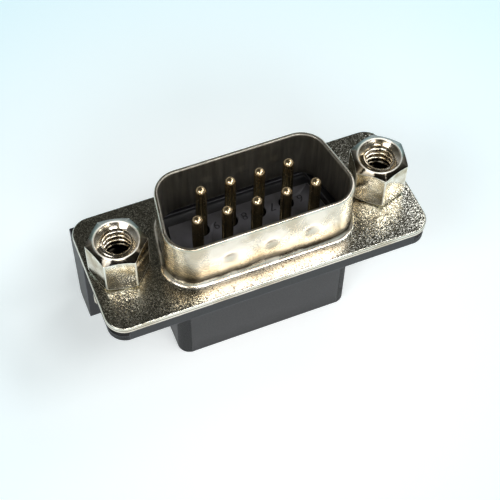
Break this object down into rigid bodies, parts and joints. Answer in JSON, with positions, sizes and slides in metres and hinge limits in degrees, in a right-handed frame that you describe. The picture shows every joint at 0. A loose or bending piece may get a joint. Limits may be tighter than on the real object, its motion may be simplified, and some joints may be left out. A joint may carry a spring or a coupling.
{
  "type": "right-angle D-sub plug connector",
  "caption": "Right-angle D-sub plug for a circuit board: plated steel shell with gilt pins, hexagonal screw locks and a black moulded housing with two feet.",
  "frame": {"origin": "centre of the D on the front face of the steel flange", "axes": "+Z is the mating direction, +X runs along the flange, and +Y points to the circuit board"},
  "size_m": [0.0308, 0.0158, 0.0174],
  "materials": {
    "plated_steel": "tin-nickel plating over drawn steel sheet, speckled on the flange and satin on the D",
    "nickel_screw": "nickel plating on turned hexagon bar, worn at the edges",
    "gilt_brass": "gold flash over turned brass",
    "tinned_strip": "matt tin over spring strip",
    "black_moulding": "fine-grained glass-filled polyester",
    "grey_moulding": "fine-grained glass-filled polyester"
  },
  "bodies": {
    "root": {"front_shell": "plated_steel", "housing": "black_moulding", "contact_insert": "grey_moulding", "tail_spacer": "grey_moulding", "contact_1": "gilt_brass", "contact_2": "gilt_brass", "contact_3": "gilt_brass", "contact_4": "gilt_brass", "contact_5": "gilt_brass", "contact_6": "gilt_brass", "contact_7": "gilt_brass", "contact_8": "gilt_brass", "contact_9": "gilt_brass", "jackscrew_left": "nickel_screw", "jackscrew_right": "nickel_screw", "captive_nut_left": "nickel_screw", "captive_nut_right": "nickel_screw", "board_lock_left": "tinned_strip", "board_lock_right": "tinned_strip"}
  },
  "joints": []
}
